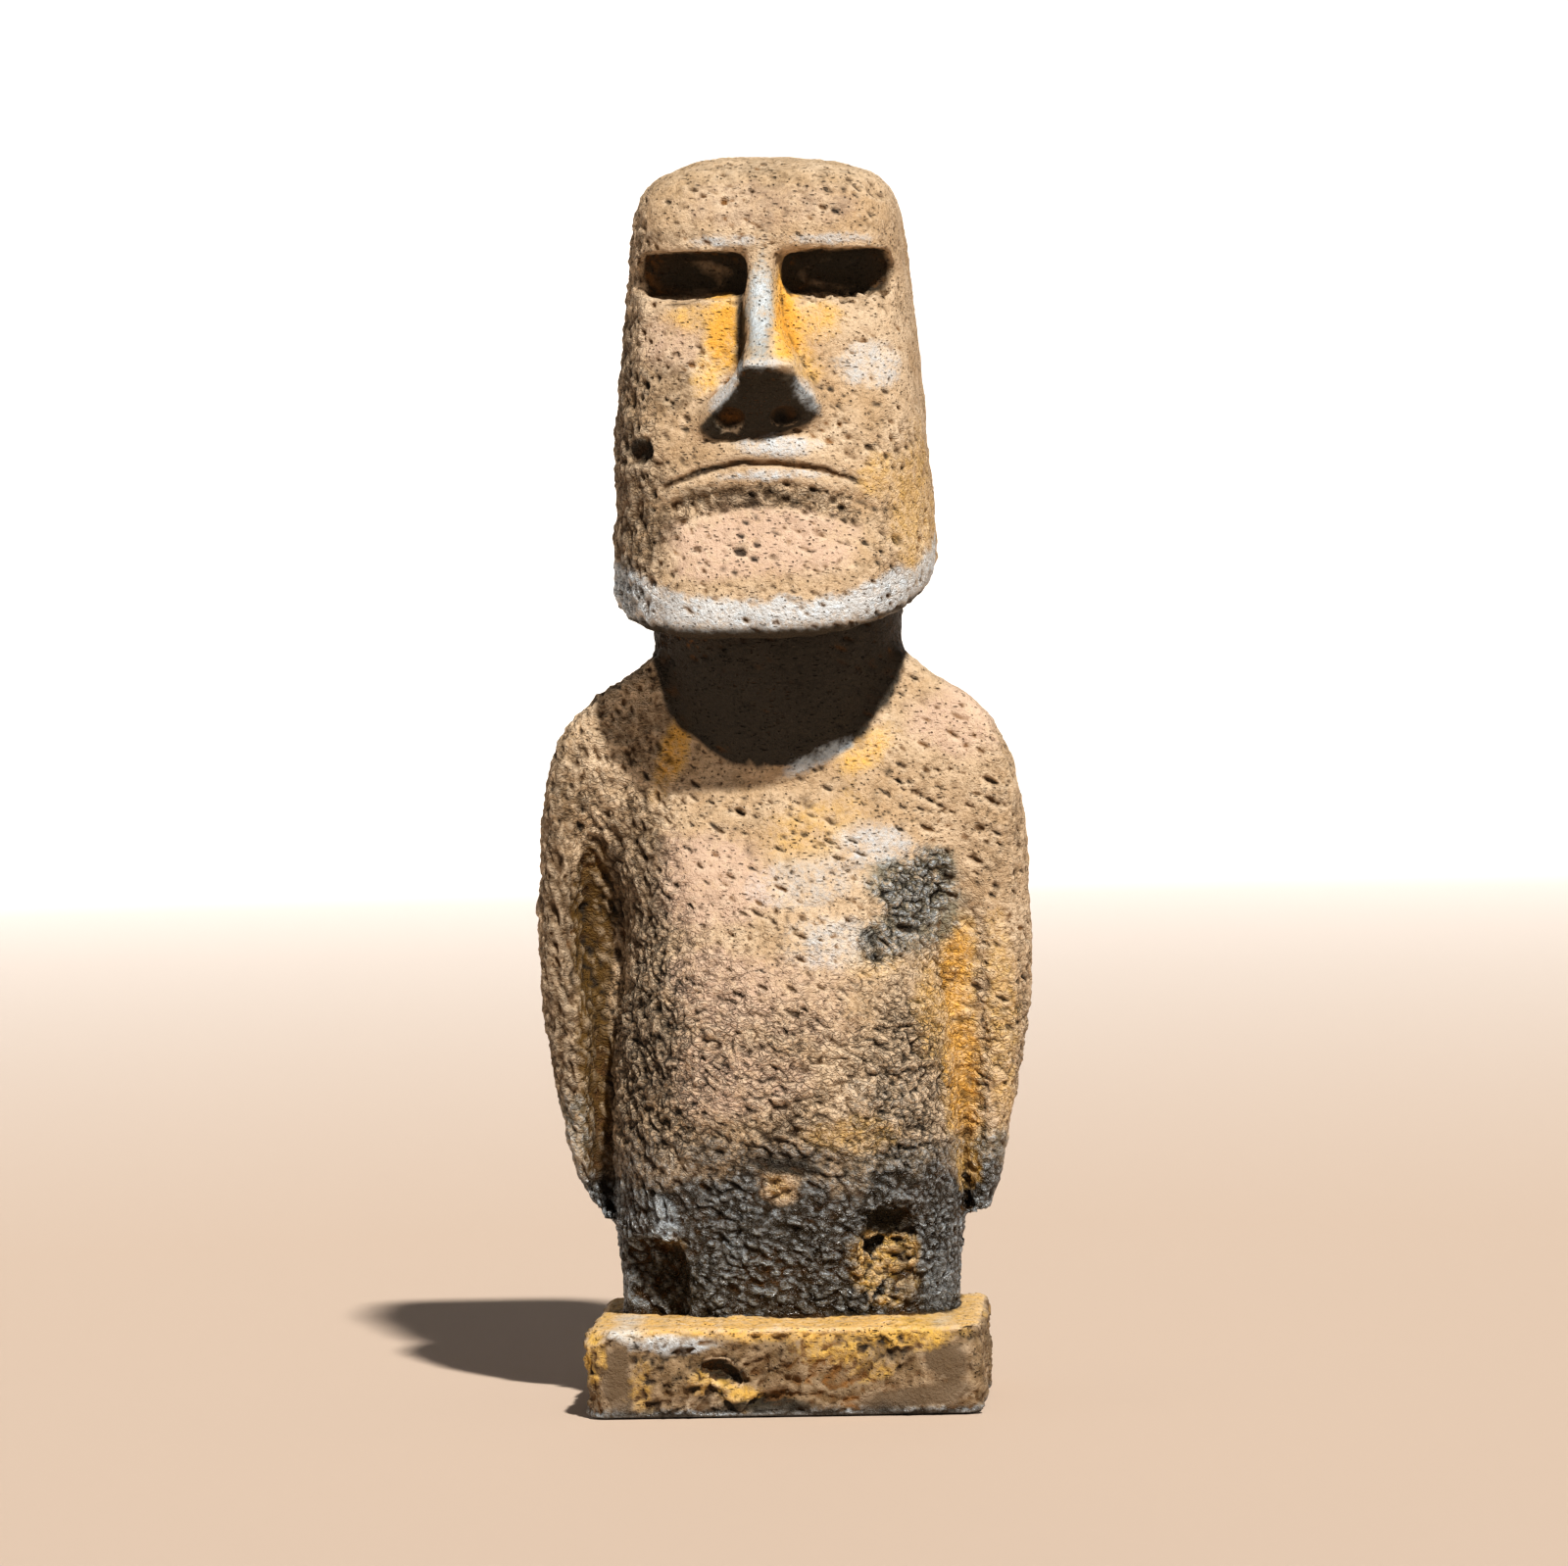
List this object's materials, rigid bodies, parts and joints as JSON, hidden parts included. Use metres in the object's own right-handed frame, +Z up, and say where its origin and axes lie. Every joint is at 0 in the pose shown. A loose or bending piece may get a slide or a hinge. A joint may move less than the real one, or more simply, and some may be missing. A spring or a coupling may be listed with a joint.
{
  "type": "moai statue",
  "caption": "Souvenir-size moai figure of cast stone, with a long brow-shaded face, arms held at its sides and a low square-cut plinth it stands on.",
  "frame": {"origin": "centre of the plinth's underside", "axes": "+Z up from the underside to the crown; the face and the plinth's long ledge look along -Y; +X is to the right of someone looking at the face"},
  "size_m": [0.0634, 0.0473, 0.1578],
  "materials": {
    "patinated_stone": "matte"
  },
  "bodies": {
    "root": {"moai_statue": "patinated_stone"}
  },
  "joints": []
}
